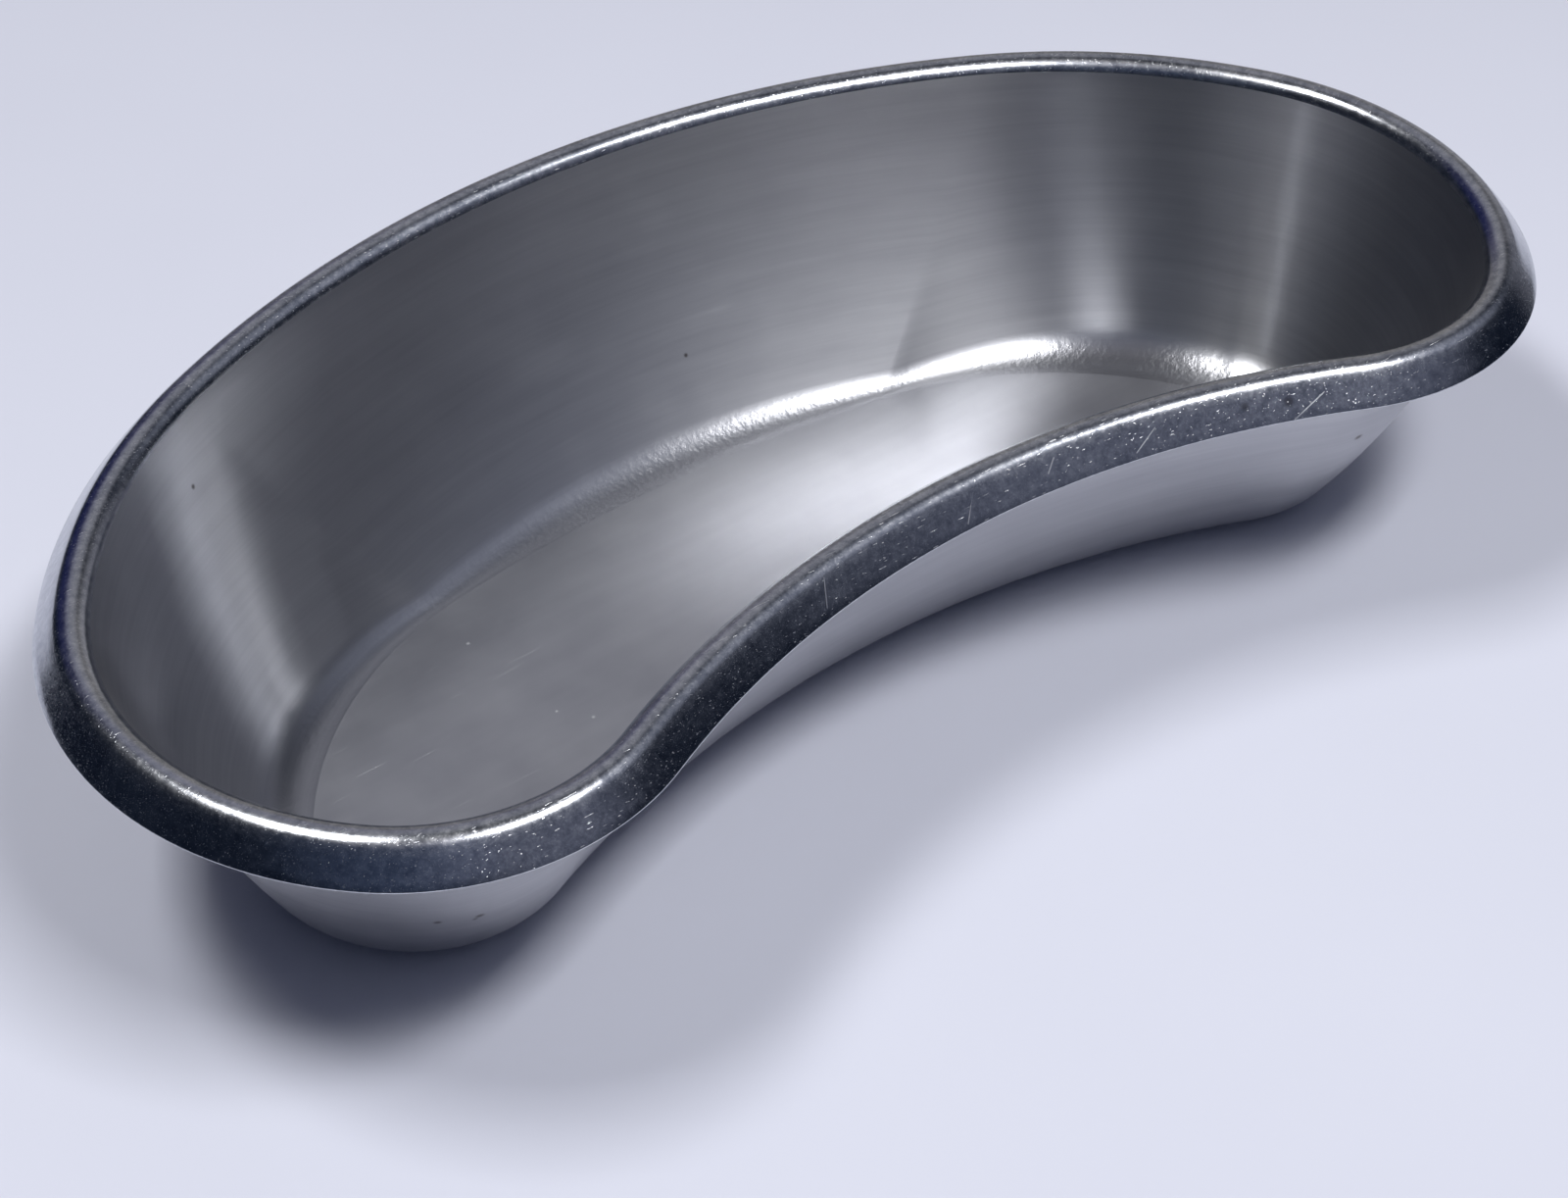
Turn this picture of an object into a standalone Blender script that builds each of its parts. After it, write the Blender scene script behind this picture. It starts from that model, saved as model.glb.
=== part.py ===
"""Kidney dish pressed from one sheet of stainless steel.

A flat kidney-shaped floor, a flared wall that curves up from it, and a rim that rolls over
outwards and hangs down as a sloping skirt with a trimmed edge.
Frame: origin under the middle of the dish on the floor's underside, +Z up, +X along the dish,
the hollow side of the kidney facing -Y.
"""
import math

import bmesh
import bpy
from mathutils import Vector

MM = 0.001

SHEET = 0.7 * MM

# Rim: the wall meets a small rolled crest, which runs out into the straight skirt.
CREST_Z = 40.4 * MM
CREST_RADIUS = 2.4 * MM
CREST_TO_EDGE = 4.7 * MM
SKIRT_SLOPE = math.radians(50.0)

# Wall: bowed slightly outwards, its lean at the crest growing with the lean of its chord.
CREST_LEAN_LEAST = math.radians(6.6)
CREST_LEAN_SHARE = 0.4

# Foot: inside radius between the floor and the wall.
FOOT_RADIUS = 8.0 * MM

# Half outlines, walked from the middle of the hollow front to the middle of the back.
# Each arc is (radius, heading at its end, steps); heading 0 points along +X and a negative
# radius bends the other way. The last arc closes on the symmetry plane by itself.
# Arcs are split at headings 0 and 90 so the outermost points are real corners of the mesh.
RIM_FRONT_Y = -38.7 * MM
RIM_ARCS = (
    (-119.0 * MM, math.radians(-26.1), 8),
    (32.7 * MM, math.radians(0.0), 4),
    (32.7 * MM, math.radians(43.1), 5),
    (47.3 * MM, math.radians(90.0), 5),
    (47.3 * MM, math.radians(119.8), 4),
    (80.0 * MM, math.radians(152.0), 4),
)
FLOOR_FRONT_Y = -11.7 * MM
FLOOR_ARCS = (
    (-148.5 * MM, math.radians(-23.6), 8),
    (12.0 * MM, math.radians(0.0), 4),
    (12.0 * MM, math.radians(41.0), 5),
    (14.6 * MM, math.radians(90.0), 5),
    (14.6 * MM, math.radians(116.0), 4),
    (54.0 * MM, math.radians(170.5), 4),
)
BACK_STEPS = 6

# Facets across the section
FOOT_STEPS = 4
WALL_STEPS = 4
CREST_STEPS = 6
FIRST_LEAN = math.radians(25.0)
LEAN_PASSES = 20

STEEL_COLOR = (0.56, 0.57, 0.60, 1.0)
STEEL_ROUGHNESS = 0.3


def arc_points(start, radius, heading_from, heading_to, steps):
    """Points along an arc after its start, each with the heading there."""
    centre = start + radius * Vector((-math.sin(heading_from), math.cos(heading_from)))
    points = []
    for step in range(1, steps + 1):
        heading = heading_from + (heading_to - heading_from) * step / steps
        offset = radius * Vector((math.sin(heading), -math.cos(heading)))
        points.append((centre + offset, heading))
    return points


def closed_outline(front_y, arcs):
    """Whole outline, counter-clockwise, as (point, outward direction) pairs."""
    half = [(Vector((0.0, front_y)), 0.0)]
    for radius, heading_to, steps in arcs:
        start, heading_from = half[-1]
        half += arc_points(start, radius, heading_from, heading_to, steps)
    start, heading_from = half[-1]
    back_radius = start.x / math.sin(heading_from)
    half += arc_points(start, back_radius, heading_from, math.pi, BACK_STEPS)
    right = [(point, Vector((math.sin(heading), -math.cos(heading)))) for point, heading in half]
    left = [(Vector((-p.x, p.y)), Vector((-out.x, out.y))) for p, out in right[-2:0:-1]]
    return right + left


def arc_in_section(start, radius, angle_from, angle_to, steps):
    """Arc in the section plane: (reach, height, slope) triples after the start."""
    points = []
    for step in range(1, steps + 1):
        angle = angle_from + (angle_to - angle_from) * step / steps
        reach = start[0] + radius * (math.sin(angle) - math.sin(angle_from))
        height = start[1] + radius * (math.cos(angle_from) - math.cos(angle))
        points.append((reach, height, angle))
    return points


def crest_start(crest_lean):
    """Where the wall runs into the crest: reach from the rim's outline, and height."""
    reach = -CREST_RADIUS * math.cos(crest_lean) - CREST_TO_EDGE
    return reach, CREST_Z - CREST_RADIUS + CREST_RADIUS * math.sin(crest_lean)


def wall_section(floor_point, rim_point, rim_out):
    """Upper skin from the floor's edge to the crest, with its direction and its lean at the top."""
    chord_lean = FIRST_LEAN
    for _ in range(LEAN_PASSES):
        crest_lean = CREST_LEAN_LEAST + CREST_LEAN_SHARE * chord_lean
        top_reach, top_z = crest_start(crest_lean)
        across = rim_point + rim_out * top_reach - floor_point
        foot_slope = math.pi / 2 - (2 * chord_lean - crest_lean)
        foot_reach = FOOT_RADIUS * math.sin(foot_slope)
        foot_z = SHEET + FOOT_RADIUS * (1 - math.cos(foot_slope))
        chord_lean = math.atan((across.length - foot_reach) / (top_z - foot_z))
    crest_slope = math.pi / 2 - crest_lean
    chord = math.hypot(across.length - foot_reach, top_z - foot_z)
    wall_radius = chord / 2 / math.sin((crest_slope - foot_slope) / 2)
    section = [(0.0, SHEET, 0.0)]
    section += arc_in_section((0.0, SHEET), FOOT_RADIUS, 0.0, foot_slope, FOOT_STEPS)
    foot_end = section[-1][:2]
    section += arc_in_section(foot_end, wall_radius, foot_slope, crest_slope, WALL_STEPS)
    return section[:-1], across.normalized(), crest_lean


def crest_section(crest_lean):
    """Upper skin from the wall's top over the crest to the skirt's cut edge."""
    angle_from = math.pi - crest_lean
    angle_to = math.pi / 2 - SKIRT_SLOPE
    centre_z = CREST_Z - CREST_RADIUS
    section = []
    for step in range(CREST_STEPS + 1):
        angle = angle_from + (angle_to - angle_from) * step / CREST_STEPS
        reach = CREST_RADIUS * math.cos(angle) - CREST_TO_EDGE
        height = centre_z + CREST_RADIUS * math.sin(angle)
        section.append((reach, height, angle - math.pi / 2))
    run = -section[-1][0]
    edge_z = section[-1][1] - run * math.tan(SKIRT_SLOPE)
    section.append((0.0, edge_z, -SKIRT_SLOPE))
    return section


def both_skins(origin, direction, section):
    """Upper and lower skin of one section, placed in the dish."""
    upper = []
    lower = []
    for reach, height, slope in section:
        under_reach = reach + SHEET * math.sin(slope)
        under_height = height - SHEET * math.cos(slope)
        upper.append((*(origin + direction * reach), height))
        lower.append((*(origin + direction * under_reach), under_height))
    return upper, lower


def dish_ribs():
    """One closed loop of points across the sheet for each station round the dish."""
    rim = closed_outline(RIM_FRONT_Y, RIM_ARCS)
    floor = closed_outline(FLOOR_FRONT_Y, FLOOR_ARCS)
    rim_ys = [point.y for point, _ in rim]
    centre = Vector((0.0, (min(rim_ys) + max(rim_ys)) / 2))
    ribs = []
    for (rim_point, rim_out), (floor_point, _) in zip(rim, floor):
        wall, across, crest_lean = wall_section(floor_point, rim_point, rim_out)
        crest = crest_section(crest_lean)
        upper, lower = both_skins(floor_point - centre, across, wall)
        crest_upper, crest_lower = both_skins(rim_point - centre, rim_out, crest)
        ribs.append(upper + crest_upper + (lower + crest_lower)[::-1])
    return ribs


def stainless_steel():
    material = bpy.data.materials.new("stainless_steel")
    material.use_nodes = True
    shader = material.node_tree.nodes["Principled BSDF"]
    shader.inputs["Base Color"].default_value = STEEL_COLOR
    shader.inputs["Metallic"].default_value = 1.0
    shader.inputs["Roughness"].default_value = STEEL_ROUGHNESS
    return material


def make_dish():
    ribs = dish_ribs()
    mesh = bpy.data.meshes.new("kidney_dish")
    bm = bmesh.new()
    grid = [[bm.verts.new(point) for point in rib] for rib in ribs]
    for station, rib in enumerate(grid):
        following = grid[(station + 1) % len(grid)]
        for k in range(len(rib) - 1):
            bm.faces.new((rib[k], rib[k + 1], following[k + 1], following[k]))
    bm.faces.new([rib[0] for rib in grid])
    bm.faces.new([rib[-1] for rib in reversed(grid)])
    bm.normal_update()
    bm.to_mesh(mesh)
    bm.free()
    mesh.shade_smooth()
    mesh.set_sharp_from_angle(angle=math.radians(50.0))
    mesh.materials.append(stainless_steel())
    dish = bpy.data.objects.new("kidney_dish", mesh)
    bpy.context.scene.collection.objects.link(dish)
    return dish


for old_object in list(bpy.data.objects):
    bpy.data.objects.remove(old_object, do_unlink=True)

make_dish()
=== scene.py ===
"""Visual model of the kidney dish: the pressed sheet at fine steps, its steel, and a studio."""
import math

import bpy
from mathutils import Matrix, Vector


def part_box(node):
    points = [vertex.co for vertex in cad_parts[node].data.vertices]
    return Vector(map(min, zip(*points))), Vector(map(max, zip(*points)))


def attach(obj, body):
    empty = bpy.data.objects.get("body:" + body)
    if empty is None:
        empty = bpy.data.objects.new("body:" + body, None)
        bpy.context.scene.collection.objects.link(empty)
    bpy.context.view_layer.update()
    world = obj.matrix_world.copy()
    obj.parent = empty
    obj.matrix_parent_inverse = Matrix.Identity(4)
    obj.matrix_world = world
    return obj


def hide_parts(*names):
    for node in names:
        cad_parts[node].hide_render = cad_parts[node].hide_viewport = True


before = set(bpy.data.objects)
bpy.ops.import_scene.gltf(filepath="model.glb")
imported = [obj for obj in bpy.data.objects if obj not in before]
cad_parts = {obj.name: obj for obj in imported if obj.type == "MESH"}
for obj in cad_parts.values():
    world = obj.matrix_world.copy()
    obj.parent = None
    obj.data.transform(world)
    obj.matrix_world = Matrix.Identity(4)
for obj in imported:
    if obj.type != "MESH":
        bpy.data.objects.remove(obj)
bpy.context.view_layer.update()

MM = 0.001

# Shape of the dish, the same driving dimensions as the CAD model
SHEET = 0.7 * MM
CREST_RADIUS = 2.4 * MM
CREST_TO_EDGE = 4.7 * MM
SKIRT_SLOPE = math.radians(50.0)
CREST_LEAN_LEAST = math.radians(6.6)
CREST_LEAN_SHARE = 0.4
FOOT_RADIUS = 8.0 * MM
RIM_FRONT_Y = -38.7 * MM
RIM_ARCS = (
    (-119.0 * MM, math.radians(-26.1)),
    (32.7 * MM, math.radians(0.0)),
    (32.7 * MM, math.radians(43.1)),
    (47.3 * MM, math.radians(90.0)),
    (47.3 * MM, math.radians(119.8)),
    (80.0 * MM, math.radians(152.0)),
)
FLOOR_FRONT_Y = -11.7 * MM
FLOOR_ARCS = (
    (-148.5 * MM, math.radians(-23.6)),
    (12.0 * MM, math.radians(0.0)),
    (12.0 * MM, math.radians(41.0)),
    (14.6 * MM, math.radians(90.0)),
    (14.6 * MM, math.radians(116.0)),
    (54.0 * MM, math.radians(170.5)),
)
ARC_STEPS = (40, 12, 18, 26, 18, 32)
BACK_STEPS = 46
FIRST_LEAN = math.radians(25.0)
LEAN_PASSES = 20

# Facets across the sheet, and the small rounding of the trimmed edge
FOOT_STEPS = 10
WALL_STEPS = 18
CREST_STEPS = 14
SKIRT_STEPS = 4
EDGE_STEPS = 4
EDGE_RADIUS = 0.16 * MM
FLOOR_INSET = 0.5 * MM

low_corner, high_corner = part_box("kidney_dish")
CREST_Z = high_corner.z


def arc_points(start, radius, heading_from, heading_to, steps):
    """Points along an arc after its start, each with the heading there."""
    centre = start + radius * Vector((-math.sin(heading_from), math.cos(heading_from)))
    points = []
    for step in range(1, steps + 1):
        heading = heading_from + (heading_to - heading_from) * step / steps
        offset = radius * Vector((math.sin(heading), -math.cos(heading)))
        points.append((centre + offset, heading))
    return points


def closed_outline(front_y, arcs):
    """Whole outline, counter-clockwise from the front, as (point, outward direction) pairs."""
    half = [(Vector((0.0, front_y)), 0.0)]
    for (radius, heading_to), steps in zip(arcs, ARC_STEPS):
        start, heading_from = half[-1]
        half += arc_points(start, radius, heading_from, heading_to, steps)
    start, heading_from = half[-1]
    back_radius = start.x / math.sin(heading_from)
    half += arc_points(start, back_radius, heading_from, math.pi, BACK_STEPS)
    right = [(point, Vector((math.sin(heading), -math.cos(heading)))) for point, heading in half]
    left = [(Vector((-p.x, p.y)), Vector((-out.x, out.y))) for p, out in right[-2:0:-1]]
    return right + left


def arc_in_section(start, radius, angle_from, angle_to, steps):
    """Arc in the section plane: (reach, height, slope) triples after the start."""
    points = []
    for step in range(1, steps + 1):
        angle = angle_from + (angle_to - angle_from) * step / steps
        reach = start[0] + radius * (math.sin(angle) - math.sin(angle_from))
        height = start[1] + radius * (math.cos(angle_from) - math.cos(angle))
        points.append((reach, height, angle))
    return points


def crest_start(crest_lean):
    """Where the wall runs into the crest: reach from the rim's outline, and height."""
    reach = -CREST_RADIUS * math.cos(crest_lean) - CREST_TO_EDGE
    return reach, CREST_Z - CREST_RADIUS + CREST_RADIUS * math.sin(crest_lean)


def wall_section(floor_point, rim_point, rim_out):
    """Upper skin from the floor's edge to the crest, with its direction and its lean at the top."""
    chord_lean = FIRST_LEAN
    for _ in range(LEAN_PASSES):
        crest_lean = CREST_LEAN_LEAST + CREST_LEAN_SHARE * chord_lean
        top_reach, top_z = crest_start(crest_lean)
        across = rim_point + rim_out * top_reach - floor_point
        foot_slope = math.pi / 2 - (2 * chord_lean - crest_lean)
        foot_reach = FOOT_RADIUS * math.sin(foot_slope)
        foot_z = SHEET + FOOT_RADIUS * (1 - math.cos(foot_slope))
        chord_lean = math.atan((across.length - foot_reach) / (top_z - foot_z))
    crest_slope = math.pi / 2 - crest_lean
    chord = math.hypot(across.length - foot_reach, top_z - foot_z)
    wall_radius = chord / 2 / math.sin((crest_slope - foot_slope) / 2)
    section = [(0.0, SHEET, 0.0)]
    section += arc_in_section((0.0, SHEET), FOOT_RADIUS, 0.0, foot_slope, FOOT_STEPS)
    foot_end = section[-1][:2]
    section += arc_in_section(foot_end, wall_radius, foot_slope, crest_slope, WALL_STEPS)
    return section[:-1], across.normalized(), crest_lean


def crest_section(crest_lean):
    """Upper skin from the wall's top over the crest to near the skirt's trimmed edge."""
    angle_from = math.pi - crest_lean
    angle_to = math.pi / 2 - SKIRT_SLOPE
    centre_z = CREST_Z - CREST_RADIUS
    section = []
    for step in range(CREST_STEPS + 1):
        angle = angle_from + (angle_to - angle_from) * step / CREST_STEPS
        reach = CREST_RADIUS * math.cos(angle) - CREST_TO_EDGE
        height = centre_z + CREST_RADIUS * math.sin(angle)
        section.append((reach, height, angle - math.pi / 2))
    start_reach, start_z, _ = section[-1]
    run = -start_reach - EDGE_RADIUS * math.cos(SKIRT_SLOPE)
    for step in range(1, SKIRT_STEPS + 1):
        reach = run * step / SKIRT_STEPS
        section.append((start_reach + reach, start_z - reach * math.tan(SKIRT_SLOPE), -SKIRT_SLOPE))
    return section


def both_skins(origin, direction, section):
    """Upper and lower skin of one section, placed in the dish."""
    upper = []
    lower = []
    for reach, height, slope in section:
        under_reach = reach + SHEET * math.sin(slope)
        under_height = height - SHEET * math.cos(slope)
        upper.append(Vector((*(origin + direction * reach), height)))
        lower.append(Vector((*(origin + direction * under_reach), under_height)))
    return upper, lower


def trimmed_edge(upper_end, lower_end, direction):
    """Rounded cut edge from the end of the upper skin to the end of the lower skin."""
    down_skirt = Vector((*(direction * math.cos(SKIRT_SLOPE)), -math.sin(SKIRT_SLOPE)))
    into_sheet = (lower_end - upper_end).normalized()
    points = []
    for corner, turn in ((upper_end, 0.0), (lower_end, math.pi / 2)):
        inward = into_sheet if corner is upper_end else -into_sheet
        centre = corner + inward * EDGE_RADIUS
        for step in range(EDGE_STEPS + 1):
            angle = turn + math.pi / 2 * step / EDGE_STEPS
            spoke = -into_sheet * math.cos(angle) + down_skirt * math.sin(angle)
            points.append(centre + spoke * EDGE_RADIUS)
    return points[1:-1]


def dish_ribs():
    """One closed loop of points across the sheet for each station round the dish."""
    rim = closed_outline(RIM_FRONT_Y, RIM_ARCS)
    floor = closed_outline(FLOOR_FRONT_Y, FLOOR_ARCS)
    rim_ys = [point.y for point, _ in rim]
    centre = Vector((0.0, (min(rim_ys) + max(rim_ys)) / 2))
    ribs = []
    for (rim_point, rim_out), (floor_point, floor_out) in zip(rim, floor):
        wall, across, crest_lean = wall_section(floor_point, rim_point, rim_out)
        crest = crest_section(crest_lean)
        upper, lower = both_skins(floor_point - centre, across, wall)
        crest_upper, crest_lower = both_skins(rim_point - centre, rim_out, crest)
        edge = trimmed_edge(crest_upper[-1], crest_lower[-1], rim_out)
        inset = floor_point - centre - floor_out * FLOOR_INSET
        floor_top = [Vector((*inset, SHEET))]
        floor_under = [Vector((*inset, 0.0))]
        skin = floor_top + upper + crest_upper + edge + (floor_under + lower + crest_lower)[::-1]
        ribs.append(skin)
    return ribs


ribs = dish_ribs()
UPPER_WALL_END = 1 + FOOT_STEPS + WALL_STEPS
SKIN_END = UPPER_WALL_END + CREST_STEPS + SKIRT_STEPS + 1
EDGE_COUNT = 2 * EDGE_STEPS
FLOOR_SLOT, WALL_SLOT, RIM_SLOT, UNDER_SLOT = range(4)
UV_NAME = "UVMap"


def running_length(points):
    """Distance from the first point to each point in turn."""
    lengths = [0.0]
    for before, after in zip(points, points[1:]):
        lengths.append(lengths[-1] + (after - before).length)
    return lengths


# Unrolled sheet: lengths round the rim, and lengths across the sheet from the floor
lengths_round = running_length([rib[SKIN_END - 1] for rib in ribs + ribs[:1]])
lengths_across = running_length(ribs[0])
rim_length = lengths_round[-1]
foot_end = lengths_across[1 + FOOT_STEPS]
crest_end = lengths_across[UPPER_WALL_END + CREST_STEPS]


def slot_of(k):
    """Material slot of the face between section points k and k + 1."""
    if k == 0:
        return FLOOR_SLOT
    if k < UPPER_WALL_END:
        return WALL_SLOT
    if k < SKIN_END + EDGE_COUNT:
        return RIM_SLOT
    return UNDER_SLOT


def make_dish():
    """The whole sheet as one closed mesh, with its unrolled lengths as UVs."""
    count = len(ribs)
    width = len(ribs[0])
    points = [tuple(point) for rib in ribs for point in rib]
    faces = []
    slots = []
    uvs = []
    for station in range(count):
        following = (station + 1) % count
        for k in range(width - 1):
            a, b = station * width + k, station * width + k + 1
            c, d = following * width + k + 1, following * width + k
            faces.append((a, b, c, d))
            slots.append(slot_of(k))
            u0, u1 = lengths_round[station], lengths_round[station + 1]
            v0, v1 = lengths_across[k], lengths_across[k + 1]
            uvs += [(u0, v0), (u0, v1), (u1, v1), (u1, v0)]
    floor_top = [station * width for station in range(count)]
    floor_under = [station * width + width - 1 for station in reversed(range(count))]
    for ring, slot in ((floor_top, FLOOR_SLOT), (floor_under, UNDER_SLOT)):
        faces.append(tuple(ring))
        slots.append(slot)
        uvs += [points[index][:2] for index in ring]
    mesh = bpy.data.meshes.new("pressed_dish")
    mesh.from_pydata(points, [], faces)
    mesh.polygons.foreach_set("material_index", slots)
    layer = mesh.uv_layers.new(name=UV_NAME)
    layer.data.foreach_set("uv", [value for uv in uvs for value in uv])
    mesh.validate()
    mesh.shade_smooth()
    dish = bpy.data.objects.new("pressed_dish", mesh)
    bpy.context.scene.collection.objects.link(dish)
    return dish


# Depth that the bump's heights are counted in, and how sharply dashes and specks begin
BUMP_DEPTH = 0.006 * MM
DASH_EDGE = 0.81
DASH_FADE = 0.03
SPECK_FADE = 0.02


class Shader:
    """Short names for building a material's node tree."""

    def __init__(self, name):
        material = bpy.data.materials.new(name)
        material.use_nodes = True
        self.material = material
        self.tree = material.node_tree
        self.surface = self.tree.nodes["Principled BSDF"]
        self.place = self.tree.nodes.new("ShaderNodeTexCoord").outputs["Object"]

    def node(self, kind, **settings):
        """New node with the given settings."""
        node = self.tree.nodes.new(kind)
        for name, value in settings.items():
            setattr(node, name, value)
        return node

    def put(self, socket, value):
        """Link a socket to a node's output, or give it a number."""
        if isinstance(value, bpy.types.NodeSocket):
            self.tree.links.new(value, socket)
        else:
            socket.default_value = value

    def math(self, operation, *values):
        node = self.node("ShaderNodeMath", operation=operation)
        for socket, value in zip(node.inputs, values):
            self.put(socket, value)
        return node.outputs[0]

    def vector(self, operation, *values, output=0):
        node = self.node("ShaderNodeVectorMath", operation=operation)
        for socket, value in zip(node.inputs, values):
            self.put(socket, value)
        return node.outputs[output]

    def scaled(self, vector, scale, turn=(0.0, 0.0, 0.0)):
        """Vector turned and then scaled along its axes."""
        node = self.node("ShaderNodeMapping")
        self.put(node.inputs["Vector"], vector)
        node.inputs["Rotation"].default_value = turn
        node.inputs["Scale"].default_value = scale
        return node.outputs[0]

    def noise(self, vector, scale, detail=2.0, rough=0.5):
        """Smooth noise between 0 and 1."""
        node = self.node("ShaderNodeTexNoise")
        self.put(node.inputs["Vector"], vector)
        node.inputs["Scale"].default_value = scale
        node.inputs["Detail"].default_value = detail
        node.inputs["Roughness"].default_value = rough
        return node.outputs["Fac"]

    def step(self, value, low, high, to_low=0.0, to_high=1.0):
        """Smooth step from one number to another between two values."""
        node = self.node("ShaderNodeMapRange", interpolation_type="SMOOTHSTEP")
        for socket, number in zip(node.inputs, (value, low, high, to_low, to_high)):
            self.put(socket, number)
        return node.outputs[0]

    def color(self, factor, first, second):
        """Mix of two colours, each given as three numbers or as a node's output."""
        node = self.node("ShaderNodeMix", data_type="RGBA")
        self.put(node.inputs["Factor"], factor)
        for socket, color in ((node.inputs[6], first), (node.inputs[7], second)):
            self.put(socket, color if isinstance(color, bpy.types.NodeSocket) else (*color, 1.0))
        return node.outputs[2]

    def bump(self, height):
        """Normal bent by a height map in units of the bump depth."""
        node = self.node("ShaderNodeBump")
        self.put(node.inputs["Height"], height)
        node.inputs["Distance"].default_value = BUMP_DEPTH
        return node.outputs[0]

    def total(self, *values):
        """Sum of values."""
        result = values[0]
        for value in values[1:]:
            result = self.math("ADD", result, value)
        return result

    def weighted(self, base, *parts):
        """Sum of (value, weight) parts and a base number."""
        return self.total(*(self.math("MULTIPLY", value, weight) for value, weight in parts), base)

    def unrolled(self):
        """The sheet rolled into a tube: round the dish, and z across the sheet from the floor."""
        uv = self.node("ShaderNodeUVMap", uv_map=UV_NAME).outputs[0]
        parts = self.node("ShaderNodeSeparateXYZ")
        self.put(parts.inputs[0], uv)
        turn = self.math("MULTIPLY", parts.outputs[0], 2 * math.pi / rim_length)
        joined = self.node("ShaderNodeCombineXYZ")
        tube_radius = rim_length / (2 * math.pi)
        self.put(joined.inputs[0], self.math("MULTIPLY", self.math("COSINE", turn), tube_radius))
        self.put(joined.inputs[1], self.math("MULTIPLY", self.math("SINE", turn), tube_radius))
        self.put(joined.inputs[2], parts.outputs[1])
        return joined.outputs[0], parts.outputs[1]

    def dashes(self, length, width, turn, share):
        """Thin dashes across the object: 1 on a dash; share is roughly how much is covered."""
        vector = self.scaled(self.place, (1 / length, 1 / width, 1 / width), turn)
        edge = DASH_EDGE - share
        return self.step(self.noise(vector, 1.0, 1.0), edge - DASH_FADE, edge + DASH_FADE)

    def specks(self, cell, size, share):
        """Small round specks, about one in each cell that the share picks."""
        node = self.node("ShaderNodeTexVoronoi")
        self.put(node.inputs["Vector"], self.place)
        node.inputs["Scale"].default_value = 1 / cell
        shape = self.step(node.outputs["Distance"], 0.0, size / cell, 1.0, 0.0)
        lot = self.node("ShaderNodeSeparateColor")
        self.put(lot.inputs[0], node.outputs["Color"])
        picked = self.step(lot.outputs[0], 1 - share, 1 - share + SPECK_FADE)
        return self.math("MULTIPLY", shape, picked)

    def near_line(self, start, end, width):
        """1 along a straight scratch between two places, fading over its width."""
        start = Vector(start)
        run = Vector(end) - start
        offset = self.vector("SUBTRACT", self.place, tuple(start))
        share = self.vector("DOT_PRODUCT", offset, tuple(run / run.length_squared), output=1)
        share = self.math("MINIMUM", self.math("MAXIMUM", share, 0.0), 1.0)
        scale = self.node("ShaderNodeVectorMath", operation="SCALE")
        scale.inputs[0].default_value = run
        self.put(scale.inputs["Scale"], share)
        distance = self.vector("DISTANCE", offset, scale.outputs[0], output=1)
        return self.step(distance, width * 0.3, width, 1.0, 0.0)

    def near_spot(self, centre, radius):
        """1 at the centre of a small round mark, fading to its radius."""
        distance = self.vector("DISTANCE", self.place, tuple(centre), output=1)
        return self.step(distance, radius * 0.2, radius, 1.0, 0.0)

    def spots(self, places):
        """1 on small round marks given in millimetres as (centre, radius)."""
        return self.total(*(
            self.near_spot([v * MM for v in centre], radius * MM) for centre, radius in places
        ))

    def finish(self, tone, greys, roughness, normal, anisotropic, stain):
        """Bare metal, from a tone between two greys, a roughness, a normal and a stain mask."""
        surface = self.surface
        metal = self.color(tone, *greys)
        self.put(surface.inputs["Base Color"], self.color(stain, metal, STAIN_COLOR))
        self.put(surface.inputs["Roughness"], roughness)
        self.put(surface.inputs["Normal"], normal)
        surface.inputs["Metallic"].default_value = 1.0
        surface.inputs["Anisotropic"].default_value = anisotropic
        surface.inputs["Anisotropic Rotation"].default_value = ACROSS_THE_BRUSHING
        if anisotropic > 0:
            tangent = self.node("ShaderNodeTangent", direction_type="UV_MAP", uv_map=UV_NAME)
            self.put(surface.inputs["Tangent"], tangent.outputs[0])
        return self.material


# Steel: two greys each for the satin sheet and the polished rim, and the colour of stains
ACROSS_THE_BRUSHING = 0.25
SATIN_GREYS = ((0.49, 0.495, 0.525), (0.68, 0.685, 0.705))
RIM_GREYS = ((0.40, 0.42, 0.47), (0.82, 0.83, 0.86))
STAIN_COLOR = (0.16, 0.15, 0.15)
LEAST_SATIN = 0.277
MOST_POLISHED = 0.262
SCRATCHED = 0.36
STAIN_STRENGTH = 0.6

# Marks at known places, in millimetres: round ones as (centre, radius), scratches as two ends
INNER_MARKS = (((-67.7, 28.6, 31.1), 0.5), ((12.2, 36.1, 11.2), 0.45))
OUTER_MARKS = (
    ((-76.0, -38.8, 15.1), 0.7),
    ((-71.5, -40.5, 14.7), 0.8),
    ((-71.9, -40.1, 13.9), 0.5),
    ((63.1, -44.1, 20.9), 0.8),
)
FLOOR_SPECKS = (
    ((-39.9, 13.5, 0.7), 0.4),
    ((-34.9, -8.4, 0.7), 0.4),
    ((-38.0, -4.6, 0.7), 0.35),
)
RIM_STAINS = (((38.5, -46.0, 38.3), 0.8), ((43.8, -48.3, 38.0), 1.0))
SCRATCHES = (
    ((48.3, -49.8, 38.3), (43.6, -49.8, 36.2)),
    ((26.8, -42.6, 38.6), (23.3, -43.3, 36.8)),
    ((1.7, -38.3, 39.9), (-1.5, -41.1, 36.7)),
    ((12.8, -39.9, 39.0), (11.3, -40.7, 37.8)),
    ((-22.9, -41.0, 39.5), (-24.2, -43.2, 37.1)),
)
SCRATCH_WIDTH = 0.12 * MM
WORN_WIDTH = 1.2 * MM

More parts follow.
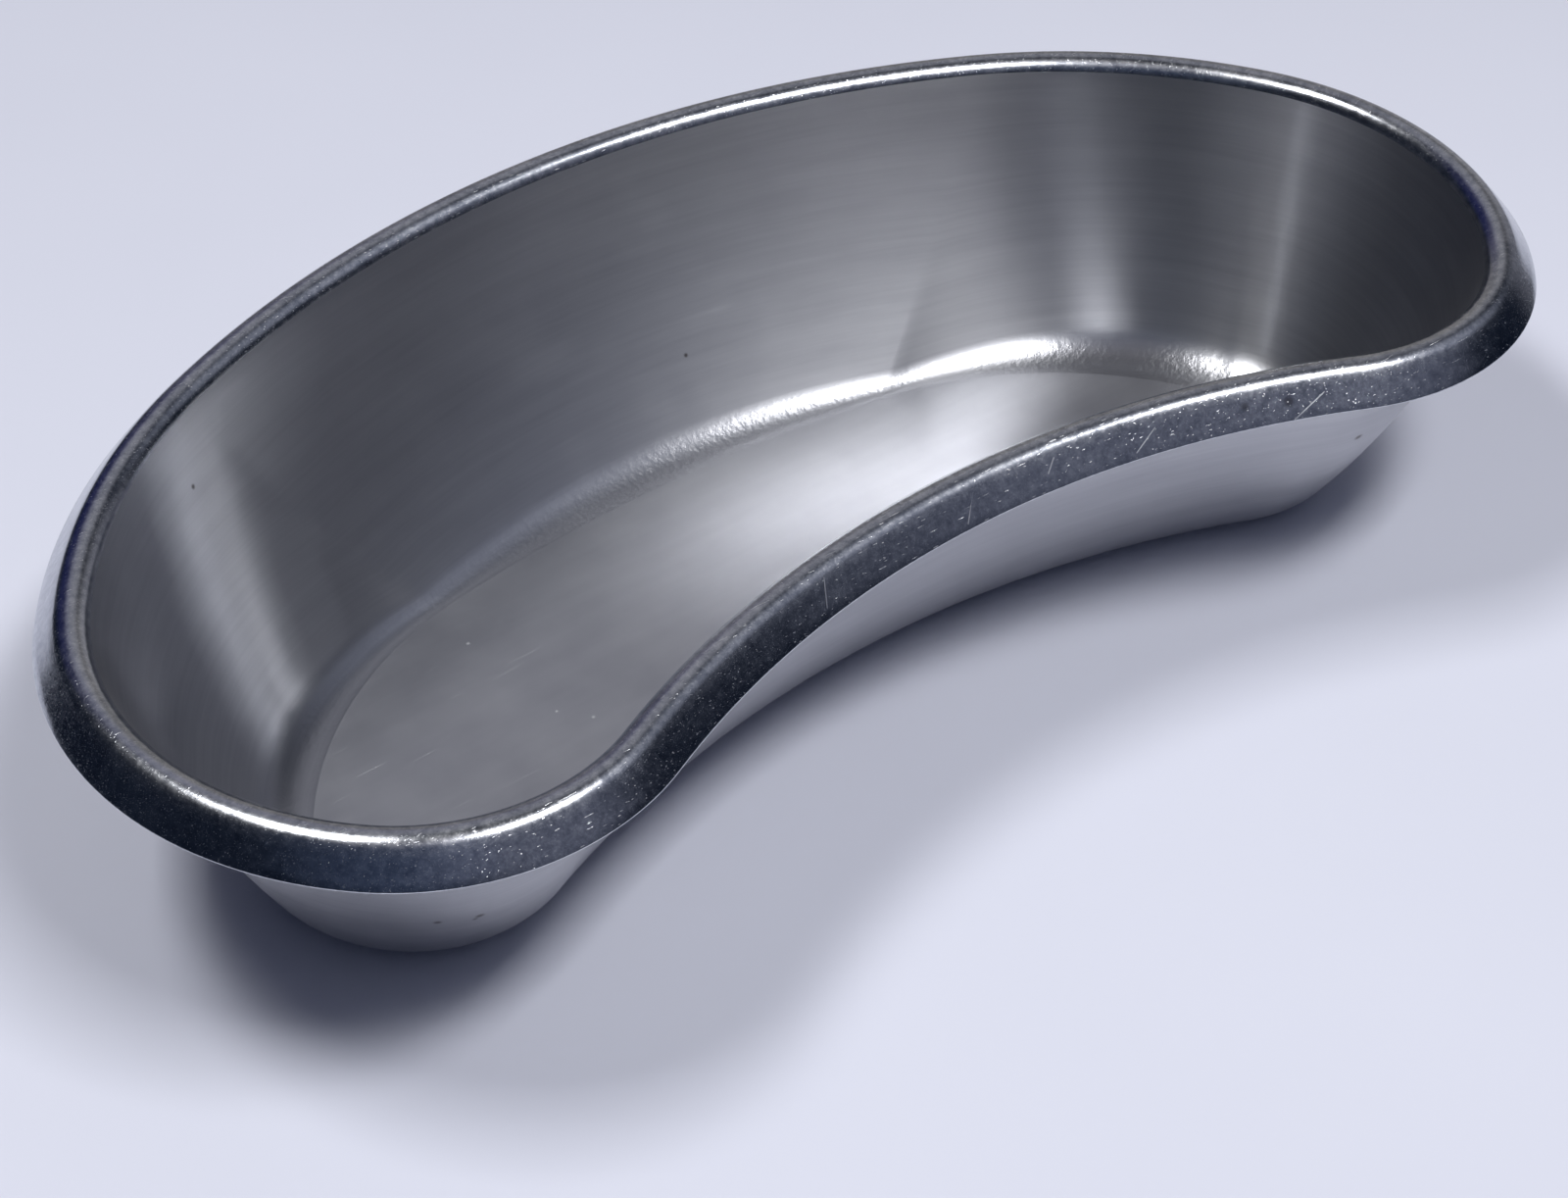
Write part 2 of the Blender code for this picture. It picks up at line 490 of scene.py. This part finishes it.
# Hairline dashes as (length, width, turn, share)
FLOOR_HAIRS = (
    (9 * MM, 0.16 * MM, (0.0, 0.0, 0.35), 0.03),
    (12 * MM, 0.16 * MM, (0.0, 0.0, -0.5), 0.02),
)
RIM_HAIRS = (
    (3.5 * MM, 0.13 * MM, (0.6, 0.5, 0.9), 0.06),
    (5.0 * MM, 0.12 * MM, (0.2, 0.9, -0.6), 0.05),
    (2.5 * MM, 0.13 * MM, (0.9, 0.2, 2.2), 0.06),
)


def brush_lines(shader, tube, length, width):
    """Noise drawn out round the dish."""
    vector = shader.scaled(tube, (1 / length, 1 / length, 1 / width))
    return shader.noise(vector, 1.0, 2.0, 0.6)


def wall_material(name, roughness, anisotropic, brushing, stains):
    """Satin wall: lines brushed round the dish, a fine grain, soft smudges and a few nicks."""
    shader = Shader(name)
    tube, across = shader.unrolled()
    fine = brush_lines(shader, tube, 18 * MM, 0.45 * MM)
    medium = brush_lines(shader, tube, 36 * MM, 1.3 * MM)
    broad = brush_lines(shader, tube, 80 * MM, 5.0 * MM)
    grain = shader.noise(shader.place, 1 / (0.7 * MM), 2.0, 0.65)
    smudge = shader.noise(shader.place, 1 / (22 * MM), 3.0, 0.6)
    nicks = shader.specks(5.0 * MM, 0.20 * MM, 0.10)
    pits = shader.specks(7.0 * MM, 0.35 * MM, 0.08)
    foot = shader.step(across, foot_end * 0.35, foot_end * 1.1, 1.0, 0.0)
    pressed = shader.math("MULTIPLY", shader.noise(shader.place, 1 / (0.9 * MM), 2.0, 0.6), foot)
    tone = shader.weighted(
        -0.80, (fine, 0.45), (medium, 0.45), (broad, 0.6), (smudge, 0.7), (pits, -1.0)
    )
    rough = shader.weighted(roughness - 0.055, (medium, 0.03), (smudge, 0.08), (nicks, 0.08))
    rough = shader.math("MAXIMUM", rough, LEAST_SATIN)
    height = shader.weighted(
        0.0,
        (fine, brushing * 0.10),
        (medium, brushing * 0.08),
        (grain, 0.4),
        (nicks, -1.5),
        (pressed, 7.0),
    )
    normal = shader.bump(height)
    return shader.finish(tone, SATIN_GREYS, rough, normal, anisotropic, shader.spots(stains))


def floor_material():
    """Satin floor: fine grain, cloudy smudges, hairline scratches and rare bright specks."""
    shader = Shader("floor_steel")
    grain = shader.noise(shader.place, 1 / (0.4 * MM), 2.0, 0.65)
    smudge = shader.noise(shader.place, 1 / (18 * MM), 4.0, 0.55)
    sweep = shader.noise(shader.scaled(shader.place, (1 / (30 * MM), 1 / (3 * MM), 1.0)), 1.0, 3.0)
    hairs = shader.total(*(shader.dashes(*hair) for hair in FLOOR_HAIRS))
    specks = shader.total(shader.specks(9.0 * MM, 0.35 * MM, 0.12), shader.spots(FLOOR_SPECKS))
    marks = shader.math("MAXIMUM", hairs, specks)
    tone = shader.weighted(-0.35, (smudge, 1.1), (sweep, 0.5), (specks, 0.6))
    rough = shader.weighted(0.25, (smudge, 0.12), (marks, 0.14))
    rough = shader.math("MAXIMUM", rough, LEAST_SATIN)
    height = shader.weighted(0.0, (grain, 0.8), (hairs, -1.0), (specks, 4.0))
    return shader.finish(tone, SATIN_GREYS, rough, shader.bump(height), 0.0, 0.0)


def rim_material():
    """Polished rim that has been handled: mottled, scuffed, dented, scratched and stained."""
    shader = Shader("rim_steel")
    _, across = shader.unrolled()
    worn = shader.step(across, crest_end, crest_end + WORN_WIDTH, 1.0, 0.0)
    mottle = shader.noise(shader.place, 1 / (1.1 * MM), 4.0, 0.7)
    scuffs = shader.step(shader.noise(shader.place, 1 / (0.30 * MM), 2.0, 0.7), 0.48, 0.70)
    cloud = shader.noise(shader.place, 1 / (9 * MM), 3.0, 0.6)
    dents = shader.total(
        shader.specks(0.9 * MM, 0.20 * MM, 0.09),
        shader.specks(2.0 * MM, 0.32 * MM, 0.18),
    )
    hairs = shader.total(*(shader.dashes(*hair) for hair in RIM_HAIRS))
    scratches = shader.total(*(
        shader.near_line([v * MM for v in start], [v * MM for v in end], SCRATCH_WIDTH)
        for start, end in SCRATCHES
    ))
    marks = shader.math("MINIMUM", shader.total(hairs, scratches, dents), 1.0)
    tone = shader.weighted(-1.0, (mottle, 1.9), (cloud, 0.9), (scuffs, 0.25), (marks, 0.6))
    rough = shader.weighted(0.065, (mottle, 0.14), (cloud, 0.06), (scuffs, 0.05), (worn, 0.05))
    rough = shader.math("MINIMUM", rough, MOST_POLISHED)
    rough = shader.math("MAXIMUM", rough, shader.math("MULTIPLY", marks, SCRATCHED))
    height = shader.weighted(
        0.0, (mottle, 1.2), (scuffs, 0.3), (dents, -1.0), (hairs, -0.8), (scratches, -1.0)
    )
    stain = shader.math("MULTIPLY", shader.spots(RIM_STAINS), STAIN_STRENGTH)
    return shader.finish(tone, RIM_GREYS, rough, shader.bump(height), 0.0, stain)


dish = make_dish()
dish.data.materials.append(floor_material())
dish.data.materials.append(wall_material("wall_steel", 0.272, 0.8, 1.0, INNER_MARKS))
dish.data.materials.append(rim_material())
dish.data.materials.append(wall_material("under_steel", 0.33, 0.5, 0.6, OUTER_MARKS))
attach(dish, "root")
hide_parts("kidney_dish")


# Camera, at the height and angle of a person at the table
CAMERA_AZIMUTH = math.radians(35.75)
CAMERA_PITCH = math.radians(41.03)
CAMERA_ROLL = math.radians(-1.42)
CAMERA_PLACE = Vector((-0.17738, -0.23970, 0.25224))
CAMERA_LENS = 66.33
CAMERA_SHIFT = (0.0257, 0.0134)
SENSOR_WIDTH = 36.0
NEAREST = 0.01


def make_camera():
    """Camera from its place, angles and lens."""
    forward = Vector((
        math.sin(CAMERA_AZIMUTH) * math.cos(CAMERA_PITCH),
        math.cos(CAMERA_AZIMUTH) * math.cos(CAMERA_PITCH),
        -math.sin(CAMERA_PITCH),
    ))
    level = Vector((math.cos(CAMERA_AZIMUTH), -math.sin(CAMERA_AZIMUTH), 0.0))
    up = level.cross(forward)
    right = level * math.cos(CAMERA_ROLL) + up * math.sin(CAMERA_ROLL)
    up = up * math.cos(CAMERA_ROLL) - level * math.sin(CAMERA_ROLL)
    data = bpy.data.cameras.new("camera")
    data.sensor_width = SENSOR_WIDTH
    data.lens = CAMERA_LENS
    data.shift_x, data.shift_y = CAMERA_SHIFT
    data.clip_start = NEAREST
    camera = bpy.data.objects.new("camera", data)
    turn = Matrix((right, up, -forward)).transposed().to_4x4()
    camera.matrix_world = Matrix.Translation(CAMERA_PLACE) @ turn
    bpy.context.scene.collection.objects.link(camera)
    bpy.context.scene.camera = camera


# Table top
TABLE_HALF = 0.26
TABLE_GREYS = ((0.655, 0.67, 0.765), (0.715, 0.73, 0.825))
TABLE_SPECK_COLOR = (0.25, 0.23, 0.24)
TABLE_BLOTCHES = 9.0
TABLE_ROUGHNESS = 0.55

# Room: its dim colour, and soft glows as (azimuth, elevation, spread, colour)
ROOM_COLOR = (0.007, 0.011, 0.022)
ROOM_GLOWS = (
    (5.0, 6.0, 38.0, (0.22, 0.21, 0.20)),
    (35.0, 4.0, 28.0, (0.16, 0.16, 0.18)),
    (-30.0, 26.0, 28.0, (0.0, 0.0, 0.05)),
    (0.0, 48.0, 28.0, (0.25, 0.25, 0.275)),
    (75.0, 46.0, 30.0, (0.17, 0.18, 0.22)),
    (180.0, 70.0, 28.0, (0.10, 0.09, 0.09)),
    (130.0, 45.0, 45.0, (0.110, 0.117, 0.155)),
    (-170.0, 45.0, 38.0, (0.030, 0.040, 0.070)),
)

# Softboxes as (name, azimuth, elevation, size, watts)
SOFTBOX_AIM = (0.0, 0.0, 0.02)
SOFTBOX_DISTANCE = 1.0
SOFTBOXES = (
    ("softbox_right", 128.0, 62.5, (0.42, 0.16), 6.1),
    ("softbox_left", -93.0, 67.5, (0.38, 0.19), 5.0),
)


def direction_from_camera(azimuth, elevation):
    """Unit vector: azimuth 0 is the way the camera looks, positive to its right."""
    turn = CAMERA_AZIMUTH + math.radians(azimuth)
    rise = math.radians(elevation)
    return Vector((math.sin(turn) * math.cos(rise), math.cos(turn) * math.cos(rise), math.sin(rise)))


def add_softbox(name, azimuth, elevation, size, power):
    """Rectangular area light that faces the middle of the dish."""
    aim = Vector(SOFTBOX_AIM)
    data = bpy.data.lights.new(name, "AREA")
    data.shape = "RECTANGLE"
    data.size, data.size_y = size
    data.energy = power
    light = bpy.data.objects.new(name, data)
    towards = direction_from_camera(azimuth, elevation)
    place = aim + towards * SOFTBOX_DISTANCE
    level = Vector((towards.y, -towards.x, 0.0)).normalized()
    turn = Matrix((level, towards.cross(level), towards)).transposed().to_4x4()
    light.matrix_world = Matrix.Translation(place) @ turn
    bpy.context.scene.collection.objects.link(light)


def make_floor():
    """Pale table top that the dish stands on, faintly blotched, with a few dark specks."""
    mesh = bpy.data.meshes.new("table_top")
    corners = ((-1, -1), (1, -1), (1, 1), (-1, 1))
    mesh.from_pydata([(x * TABLE_HALF, y * TABLE_HALF, 0.0) for x, y in corners], [], [(0, 1, 2, 3)])
    table = bpy.data.objects.new("table_top", mesh)
    bpy.context.scene.collection.objects.link(table)
    shader = Shader("table_laminate")
    blotch = shader.noise(shader.place, TABLE_BLOTCHES, 3.0)
    paint = shader.color(blotch, *TABLE_GREYS)
    specks = shader.math("MULTIPLY", shader.specks(38 * MM, 0.7 * MM, 0.3), 0.45)
    paint = shader.color(specks, paint, TABLE_SPECK_COLOR)
    shader.put(shader.surface.inputs["Base Color"], paint)
    shader.surface.inputs["Roughness"].default_value = TABLE_ROUGHNESS
    table.data.materials.append(shader.material)


def make_world():
    """Dim studio: a bluish dark room with a few soft brighter sides."""
    world = bpy.data.worlds.new("studio")
    world.use_nodes = True
    tree = world.node_tree
    direction = tree.nodes.new("ShaderNodeTexCoord").outputs["Generated"]
    light = None
    for azimuth, elevation, spread, color in ROOM_GLOWS:
        towards = tree.nodes.new("ShaderNodeVectorMath")
        towards.operation = "DOT_PRODUCT"
        tree.links.new(direction, towards.inputs[0])
        towards.inputs[1].default_value = direction_from_camera(azimuth, elevation)
        glow = tree.nodes.new("ShaderNodeMapRange")
        glow.interpolation_type = "SMOOTHSTEP"
        tree.links.new(towards.outputs["Value"], glow.inputs["Value"])
        glow.inputs["From Min"].default_value = math.cos(math.radians(spread))
        tint = tree.nodes.new("ShaderNodeMix")
        tint.data_type = "RGBA"
        tint.blend_type = "ADD"
        tree.links.new(glow.outputs[0], tint.inputs["Factor"])
        if light is None:
            tint.inputs[6].default_value = (*ROOM_COLOR, 1.0)
        else:
            tree.links.new(light, tint.inputs[6])
        tint.inputs[7].default_value = (*color, 1.0)
        light = tint.outputs[2]
    tree.links.new(light, tree.nodes["Background"].inputs["Color"])
    bpy.context.scene.world = world


make_camera()
make_floor()
make_world()
for softbox in SOFTBOXES:
    add_softbox(*softbox)
bpy.context.scene.view_settings.view_transform = "Standard"
